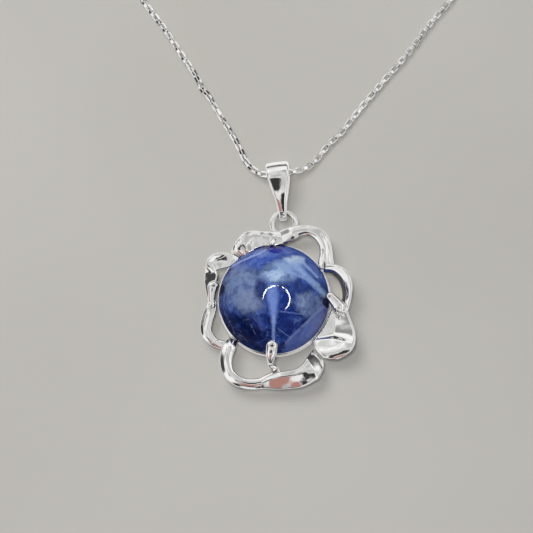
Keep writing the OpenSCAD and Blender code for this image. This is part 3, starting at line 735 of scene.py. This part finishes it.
def make_petals():
    petal("petal_a_top_left", "petal_top_left", [
        ((1.95, 10, 2.15), (2, 9.4, 2.2), (2, 8.85, 2.2), (1.95, 8.3, 2.15)),
        ((-0.25, 10, 2.6), (-0.25, 9.25, 2.75), (-0.25, 8.5, 2.7), (-0.25, 7.75, 2.6)),
        ((-1.75, 10.05, 2.7), (-1.75, 9.25, 2.8), (-1.75, 8.45, 2.7), (-1.75, 7.65, 2.6)),
        ((-3.05, 10.15, 2.95), (-2.9, 9.3, 3), (-2.8, 8.4, 2.85), (-2.6, 7.4, 2.7)),
        ((-4.15, 9.9, 3.15), (-3.8, 9, 3.2), (-3.5, 8, 3), (-3.2, 7, 2.7)),
        ((-4.9, 9.25, 3.2), (-4.5, 8.45, 3.3), (-4.05, 7.55, 3.1), (-3.6, 6.65, 2.7)),
        ((-5.4, 8.65, 3.15), (-4.9, 8, 3.2), (-4.4, 7.3, 2.95), (-3.9, 6.5, 2.65)),
        ((-5.85, 7.95, 2.9), (-5.4, 7.4, 3), (-4.9, 6.85, 2.8), (-4.35, 6.2, 2.45)),
        ((-6.2, 7.25, 2.3), (-5.85, 6.85, 2.4), (-5.4, 6.45, 2.25), (-4.95, 6.15, 2))], folds=(6,))
    petal("petal_b_upper_left", "petal_upper_left", [
        ((-5.2, 6.25, 2.5), (-5.55, 5.75, 2.6), (-5.9, 5.3, 2.55), (-6.3, 4.9, 2.4)),
        ((-6.35, 6.75, 2.95), (-6.5, 6.1, 2.9), (-6.6, 5.4, 2.75), (-6.75, 4.7, 2.6)),
        ((-7.7, 6.8, 3.3), (-7.7, 6.1, 2.95), (-7.65, 5.35, 2.8), (-7.6, 4.5, 2.75)),
        ((-8.85, 6.6, 3.4), (-8.6, 5.9, 2.95), (-8.35, 5.2, 2.8), (-8.1, 4.35, 2.8)),
        ((-9.7, 5.85, 3.3), (-9.25, 5.45, 2.95), (-8.8, 4.95, 2.85), (-8.3, 4.25, 2.8)),
        ((-10, 4.95, 2.9), (-9.45, 4.75, 2.9), (-8.9, 4.45, 2.9), (-8.4, 4, 2.75)),
        ((-10.15, 4.05, 1.85), (-9.5, 3.9, 2.3), (-8.8, 3.7, 2.75), (-8.15, 3.45, 3.15)),
        ((-10.2, 2.75, 1.8), (-9.6, 2.65, 2.15), (-9, 2.55, 2.45), (-8.4, 2.45, 2.75)),
        ((-10, 1.4, 1.9), (-9.65, 1.35, 2.1), (-9.3, 1.3, 2.25), (-8.9, 1.25, 2.3)),
        ((-9.75, 0.05, 2), (-9.5, 0, 2.1), (-9.3, 0, 2.15), (-9.05, 0, 2.1))])
    petal("petal_c_left", "petal_left", [
        ((-9.65, -0.2, 2.2), (-9.3, -0.25, 2.4), (-8.9, -0.25, 2.35), (-8.55, -0.2, 2.2)),
        ((-10, -1.15, 2.15), (-9.5, -1.25, 2.45), (-8.95, -1.3, 2.4), (-8.45, -1.35, 2.25)),
        ((-10.45, -2.15, 1.9), (-9.9, -2.3, 2.3), (-9.3, -2.35, 2.4), (-8.7, -2.4, 2.25)),
        ((-10.75, -3.2, 1.8), (-10.15, -3.3, 2.2), (-9.55, -3.35, 2.3), (-9, -3.4, 2.15)),
        ((-10.8, -4.3, 1.8), (-10.25, -4.4, 2.15), (-9.7, -4.45, 2.2), (-9.2, -4.45, 2.05)),
        ((-10.45, -5.5, 1.8), (-9.95, -5.4, 2.05), (-9.4, -5.25, 2.05), (-8.85, -5.1, 1.95)),
        ((-9.65, -6.4, 1.6), (-9.25, -6.2, 1.85), (-8.8, -5.95, 1.85), (-8.35, -5.7, 1.75)),
        ((-8.65, -6.9, 1.4), (-8.4, -6.6, 1.6), (-8.1, -6.25, 1.6), (-7.8, -5.9, 1.5)),
        ((-7.6, -7.3, 1.2), (-7.4, -6.9, 1.4), (-7.25, -6.45, 1.4), (-7.05, -6, 1.3)),
        ((-6.55, -7.55, 1), (-6.4, -7.1, 1.15), (-6.25, -6.7, 1.15), (-6.1, -6.3, 1.05))], creases=(1,))
    petal("petal_d_lower_left", "petal_lower_left", [
        ((-6.75, -5.7, 1.9), (-6.3, -6, 2.2), (-5.85, -6.2, 2.2), (-5.4, -6.35, 1.9)),
        ((-7.3, -6.55, 2.3), (-6.7, -6.9, 2.7), (-6.15, -7.1, 2.7), (-5.65, -7.25, 2.45)),
        ((-7.65, -7.45, 2.35), (-6.95, -7.8, 2.8), (-6.45, -7.9, 2.8), (-5.95, -8, 2.5)),
        ((-7.85, -8.5, 2.3), (-7.15, -8.75, 2.8), (-6.6, -8.85, 2.8), (-6.15, -8.85, 2.55)),
        ((-7.8, -9.7, 2.3), (-7.1, -9.8, 2.75), (-6.55, -9.8, 2.8), (-6.15, -9.75, 2.6)),
        ((-7.45, -10.9, 2.3), (-6.8, -10.8, 2.7), (-6.3, -10.7, 2.75), (-5.9, -10.55, 2.6)),
        ((-6.8, -11.9, 2.3), (-6.3, -11.55, 2.6), (-5.85, -11.3, 2.75), (-5.45, -11.05, 2.6)),
        ((-5.8, -12.6, 2.15), (-5.5, -12.2, 2.6), (-5.15, -11.85, 2.75), (-4.85, -11.55, 2.6)),
        ((-4.6, -13, 2.1), (-4.4, -12.6, 2.6), (-4.25, -12.2, 2.75), (-4.1, -11.8, 2.6)),
        ((-3.25, -13.2, 2.1), (-3.2, -12.8, 2.6), (-3.2, -12.35, 2.75), (-3.2, -11.85, 2.6)),
        ((-1.9, -13.15, 2.1), (-1.95, -12.7, 2.6), (-2, -12.25, 2.8), (-2.1, -11.75, 2.65)),
        ((-0.7, -12.95, 2.05), (-0.85, -12.5, 2.65), (-1.1, -11.95, 2.85), (-1.3, -11.35, 2.75)),
        ((0.35, -12.65, 2.3), (0.15, -12.05, 2.7), (-0.05, -11.5, 2.9), (-0.25, -10.9, 2.8))], creases=(1,))
    petal("petal_e_bottom", "petal_bottom", [
        ((-1.9, -13.1, 2.2), (-1.8, -12.8, 2.55), (-1.75, -12.5, 2.85), (-1.65, -12.1, 2.85)),
        ((-0.45, -13.25, 2.15), (-0.4, -12.6, 2.6), (-0.4, -11.95, 3), (-0.45, -11.35, 3)),
        ((1, -13.3, 2.15), (1, -12.45, 2.75), (1, -11.65, 3.25), (0.9, -10.9, 3.25)),
        ((2.55, -13.2, 2.2), (2.4, -12.35, 2.8), (2.3, -11.5, 3.35), (2.2, -10.75, 3.35)),
        ((4.05, -13.05, 2.4), (3.8, -12.1, 2.85), (3.55, -11.25, 3.35), (3.35, -10.45, 3.45)),
        ((5.35, -12.5, 2.5), (5, -11.6, 3), (4.65, -10.75, 3.4), (4.2, -9.85, 3.5)),
        ((6.4, -11.9, 2.65), (5.95, -10.95, 3.15), (5.4, -10.05, 3.45), (4.75, -9.05, 3.3)),
        ((7.05, -10.75, 2.4), (6.55, -10, 2.7), (5.9, -9.2, 2.75), (5.15, -8.3, 2.6)),
        ((7.15, -9.4, 1.9), (6.7, -8.9, 2.1), (6.15, -8.3, 2.1), (5.6, -7.6, 1.9))], creases=(2,), folds=(6,))
    petal("petal_f_lower_right", "petal_lower_right", [
        ((10.7, -1.4, 2.5), (9.95, -1.75, 2.4), (9.1, -1.95, 2.3), (8.3, -1.95, 2.3)),
        ((11.05, -2.6, 2.75), (10, -2.85, 2.5), (9, -3.05, 2.2), (7.85, -3.05, 2.35)),
        ((11.45, -3.75, 2.9), (10.2, -4.05, 2.5), (8.95, -4.15, 2.1), (7.25, -4.25, 2.35)),
        ((11.85, -5.05, 3), (10.4, -5.2, 2.55), (8.85, -5.1, 2.1), (6.6, -5.15, 2.3)),
        ((11.95, -6.2, 3.1), (10.4, -6.05, 2.75), (8.8, -5.7, 2.3), (6.1, -5.8, 2.3)),
        ((11.8, -7.15, 3.2), (10.35, -6.7, 3.15), (8.65, -6.2, 2.75), (5.6, -6.35, 2.4)),
        ((11.35, -7.9, 3.1), (10, -7.55, 3.05), (8.35, -7.2, 2.8), (5.95, -7.35, 2.45)),
        ((10.6, -8.4, 2.85), (9.5, -8.3, 2.85), (8.15, -8, 2.75), (6.55, -8.1, 2.5)),
        ((9.6, -8.85, 2.5), (8.85, -8.85, 2.6), (8, -8.8, 2.6), (7.15, -8.65, 2.4))], creases=(2,), folds=(5,))
    petal("petal_g_right", "petal_right", [
        ((7.9, 5.05, 2.6), (7.8, 4.75, 2.65), (7.65, 4.4, 2.6), (7.4, 4, 2)),
        ((8.9, 4.95, 2.9), (8.8, 4.6, 2.95), (8.6, 4.25, 2.85), (8.4, 3.8, 2)),
        ((9.85, 4.6, 3.1), (9.6, 4.2, 3.1), (9.3, 3.85, 2.95), (8.95, 3.45, 2)),
        ((10.7, 3.95, 3.2), (10.4, 3.6, 3.2), (9.95, 3.2, 3), (9.5, 2.9, 2)),
        ((11.3, 2.95, 3.25), (10.9, 2.7, 3.25), (10.4, 2.4, 3), (9.85, 2.2, 2)),
        ((11.55, 1.7, 3.2), (11.2, 1.6, 3.25), (10.7, 1.45, 3), (10.1, 1.35, 2)),
        ((11.45, 0.5, 3.1), (11.2, 0.45, 3.15), (10.8, 0.45, 2.9), (10.2, 0.4, 2)),
        ((11.25, -0.65, 2.9), (11.05, -0.6, 2.9), (10.65, -0.55, 2.75), (10.05, -0.55, 2)),
        ((10.95, -1.7, 2.6), (10.7, -1.65, 2.6), (10.35, -1.55, 2.5), (9.85, -1.4, 2))], creases=(2,))
    petal("petal_h_top_right", "petal_top_right", [
        ((-0.1, 9.8, 2), (0, 9.3, 2.05), (0.05, 8.65, 2.05), (0.15, 7.95, 2)),
        ((2.1, 10.5, 2.7), (2.25, 9.8, 2.8), (2.4, 9.15, 2.75), (2.55, 8.55, 2.6)),
        ((3.4, 10.8, 2.8), (3.55, 10.2, 2.9), (3.7, 9.65, 2.85), (3.8, 9.15, 2.7)),
        ((4.8, 10.85, 2.9), (4.85, 10.3, 2.95), (4.8, 9.8, 2.9), (4.75, 9.35, 2.7)),
        ((6.05, 10.6, 3), (5.9, 10.05, 3), (5.75, 9.6, 2.95), (5.6, 9.15, 2.7)),
        ((7.15, 10.1, 3.05), (6.85, 9.6, 3), (6.5, 9.1, 2.95), (6.2, 8.65, 2.7)),
        ((8, 9.15, 3.05), (7.55, 8.75, 2.85), (7.15, 8.3, 2.95), (6.65, 7.9, 2.7)),
        ((8.4, 7.95, 3.05), (7.9, 7.75, 2.8), (7.45, 7.4, 2.9), (6.8, 7.05, 2.65)),
        ((8.6, 6.8, 3), (8, 6.8, 2.75), (7.45, 6.6, 2.9), (6.75, 6.2, 2.6)),
        ((8.7, 5.8, 2.95), (8.1, 5.75, 2.7), (7.45, 5.55, 2.8), (6.55, 5.35, 2.5)),
        ((8.85, 4.85, 2.8), (8.3, 4.75, 2.5), (7.65, 4.5, 2.55), (6.75, 4.45, 2.4))])


make_petals()


# ---- Prongs ----

CLAW_FLAT = 0.72
CLAW_SQUARENESS = 0.9


def claw(name, node, balls, eye=None, rough=0.0):
    """A claw through balls of (middle, radius), with round ends. It may have a small dent and a rough foot."""
    middles = np.array([b[0] for b in balls], float)
    radii = np.array([[b[1]] for b in balls], float)
    line = curve(np.concatenate([middles, radii], axis=1), 12)
    path, radius = line[:, :3], line[:, 3]
    way = tangents(path)
    side = unit(np.cross((0, 0, 1), way))
    up = np.cross(way, side)
    a = np.linspace(0, 2 * math.pi, 48, endpoint=False)
    wide = np.sign(np.cos(a)) * np.abs(np.cos(a)) ** CLAW_SQUARENESS
    high = np.sign(np.sin(a)) * np.abs(np.sin(a)) ** CLAW_SQUARENESS

    def ring(i, shrink, push):
        r = radius[i] * shrink
        return path[i] + way[i] * push + np.outer(r * wide, side[i]) + np.outer(r * CLAW_FLAT * high, up[i])

    cap = np.radians([88, 80, 70, 60, 48, 36, 24, 12])
    rings = [ring(0, math.cos(c), -radius[0] * math.sin(c)) for c in cap]
    rings += [ring(i, 1, 0) for i in range(len(path))]
    rings += [ring(-1, math.cos(c), radius[-1] * math.sin(c)) for c in cap[::-1]]
    points, faces = skin(rings)
    if eye:
        spot, reach, depth = eye
        far = np.linalg.norm((points[:, :2] - spot) / reach, axis=1)
        upper = smooth_step((points[:, 2] - path[-1, 2]) / 0.2)
        points[:, 2] -= depth * upper * (1 - smooth_step(far))
    if rough:
        foot = 1 - smooth_step(np.linalg.norm(points - path[0], axis=1) / (2.4 * radius[0]))
        wave = np.sin(points @ (7.1, 3.3, 2.0) + 1) * np.sin(points @ (-2.9, 6.3, 1.0) + 2)
        points += unit(points - path[0]) * (rough * foot * wave)[:, None]
    return piece(name, points, faces, SILVER, "setting", [node])


claw("claw_top", "prong_top", [((0.55, 8.95, 2.3), 0.32), ((0.1, 8.7, 2.75), 0.36), ((-0.3, 8.2, 3.0), 0.4)])
claw("claw_left", "prong_left", [((-9.1, -1.2, 2.3), 0.5), ((-9.12, -0.9, 2.75), 0.54), ((-9.12, -0.25, 2.8), 0.46),
                                 ((-9.08, 0.9, 2.9), 0.6), ((-8.95, 1.8, 2.95), 0.78), ((-8.8, 2.05, 2.9), 0.74)],
     eye=((-8.8, 1.9), (0.36, 0.22), 0.5))
claw("claw_right", "prong_right", [((9.95, -2.4, 2.5), 0.85), ((9.85, -1.85, 2.9), 0.98), ((9.5, -1.2, 3.05), 0.9),
                                   ((8.9, -0.5, 3.1), 0.8), ((8.3, 0.15, 3.15), 0.7)],
     eye=((8.15, 0.1), (0.3, 0.24), 0.45), rough=0.4)
claw("claw_bottom", "prong_bottom", [((0.4, -10.8, 2.4), 0.5), ((0.05, -10.4, 2.8), 0.6), ((-0.4, -9.95, 3.3), 0.38),
                                     ((-0.4, -9.35, 3.85), 0.5), ((-0.33, -8.6, 4.25), 0.7),
                                     ((-0.22, -7.85, 4.42), 0.84), ((-0.15, -7.15, 4.45), 0.86)],
     eye=((-0.12, -7.3), (0.36, 0.22), 0.55))


# ---- Jump ring and bail ----

BAIL_LEAN = math.radians(6)
RING_CENTRE = np.array([1.39, 11.45, 1.2])
RING_R, RING_WIRE = 1.72, 0.36
RING_TOP = RING_CENTRE + RING_R * np.array([-math.sin(BAIL_LEAN), math.cos(BAIL_LEAN), 0])
BAIL_LOOP = np.array([5.25, 0.95])
BORE_R, BAIL_T, BAIL_TOP_R = 0.46, 0.54, 2.1
# Crown across the strip, swell along its upper side, and extra thickness round the hinge
BAIL_DOME, BAIL_BULGE, BAIL_WRAP = 0.06, 0.16, 0.3
# Half the strip's width by distance along the bail from the hinge
HALF_WIDTH = [(-1.1, 0.55), (0, 0.62), (1.5, 0.8), (3.1, 1.2), (4.9, 1.6), (6.4, 1.7), (7.0, 1.68), (7.35, 1.5)]


def ribbon_section(half, thick, count=13, corner=0.24):
    """A rounded bar's outline: (across, up) points round a width of 2 * half."""
    r = min(corner, thick / 2 * 0.95, half * 0.9)
    flat = np.linspace(-(half - r), half - r, count)
    turn = np.radians(np.linspace(90, 0, 4)[1:-1])
    top = [(x, thick / 2) for x in flat]
    right = [(half - r + r * math.cos(a), thick / 2 - r + r * math.sin(a)) for a in turn] + [(half, thick / 2 - r)]
    right += [(half, r - thick / 2)]
    right += [(half - r + r * math.cos(a), r - thick / 2 - r * math.sin(a)) for a in turn[::-1]]
    bottom = [(x, -thick / 2) for x in flat[::-1]]
    left = [(-x, y) for x, y in right][::-1]
    return np.array(top + right + bottom + left)


def make_jump_ring():
    """Round wire bent to a ring, with its cut behind the petals."""
    gap, shrink = 0.012, 0.88
    a = np.linspace(math.radians(-75) + gap, math.radians(285) - gap, 97)
    path = RING_CENTRE + RING_R * np.stack([np.cos(a), np.sin(a), 0 * a], axis=1)
    out = unit(path - RING_CENTRE)
    b = np.linspace(0, 2 * math.pi, 24, endpoint=False)
    rings = [p + RING_WIRE * (np.outer(np.cos(b), o) + np.outer(np.sin(b), (0, 0, 1))) for p, o in zip(path, out)]
    way = np.array([-math.sin(a[0]), math.cos(a[0]), 0])
    end = np.array([-math.sin(a[-1]), math.cos(a[-1]), 0])
    first = path[0] + shrink * (rings[0] - path[0]) - way * gap
    last = path[-1] + shrink * (rings[-1] - path[-1]) + end * gap
    points, faces = skin([first, *rings, last])
    piece("jump_ring_wire", points, faces, SILVER, "ring", ["jump_ring"])


def make_bail():
    """A strip bent into a teardrop loop that tapers to the hinge round the jump ring."""
    small, big = BORE_R + BAIL_T / 2, BAIL_TOP_R - BAIL_T / 2
    d = np.linalg.norm(BAIL_LOOP)
    tilt, f = math.atan2(BAIL_LOOP[1], BAIL_LOOP[0]), math.acos((small - big) / d)
    low = np.linspace(tilt + f, tilt + 2 * math.pi - f, 30)
    high = np.linspace(tilt - f, tilt + f, 44)
    path = np.concatenate([small * np.stack([np.cos(low), np.sin(low)], axis=1),
                           BAIL_LOOP + big * np.stack([np.cos(high), np.sin(high)], axis=1)])
    path = resample(np.concatenate([path, path[:1]]), 0.16)[:-1]
    way = unit(np.roll(path, -1, axis=0) - np.roll(path, 1, axis=0))
    out = np.stack([way[:, 1], -way[:, 0]], axis=1)
    width = np.interp(path[:, 0], *zip(*HALF_WIDTH))
    for _ in range(3):
        width = (np.roll(width, 1) + 2 * width + np.roll(width, -1)) / 4
    rings = []
    for (u, v), (nu, nv), half in zip(path, out, width):
        section = ribbon_section(half, BAIL_T)
        x = section[:, 0] / half
        lift = section[:, 1] + BAIL_DOME * (1 - x**2) * half - BAIL_DOME * half * 0.5
        along = math.sin(math.pi * min(max(u / 5.2, 0), 1))
        lift += (section[:, 1] > 0) * (BAIL_WRAP * smooth_step((-0.1 - u) / 0.8) + BAIL_BULGE * along * (nv > 0))
        rings.append(np.stack([section[:, 0], u + nu * lift, v + nv * lift], axis=1))
    rings = np.array(rings)
    c, s = math.cos(BAIL_LEAN), math.sin(BAIL_LEAN)
    turned = np.stack([c * rings[..., 0] - s * rings[..., 1], s * rings[..., 0] + c * rings[..., 1], rings[..., 2]],
                      axis=2) + RING_TOP
    piece("bail_strip", turned.reshape(-1, 3), grid_faces(*rings.shape[:2], closed_rows=True), BAIL_SILVER,
          "bail", ["bail"], sharp=60)


make_jump_ring()
make_bail()


# ---- Carried-over pieces: eased edges and better metal ----

def carry_over(node, metal, ease=0.0):
    """Gives a CAD node its metal, and rounds its edges by a number of millimetres."""
    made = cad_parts[node]
    made.data.materials.clear()
    made.data.materials.append(metal)
    if ease:
        bevel = made.modifiers.new("eased_edges", "BEVEL")
        bevel.width = ease * MM
        bevel.segments = 3
        bevel.limit_method = "ANGLE"
        bevel.angle_limit = math.radians(35)


for name, ease in (("hanging_eye", 0.05), ("clasp_end_loop", 0), ("clasp_ring", 0),
                   ("clasp_rivet", 0.04), ("free_end_link", 0), ("free_end_ring", 0.06)):
    carry_over(name, SILVER, ease)
carry_over("clasp_spring", STEEL, 0.02)
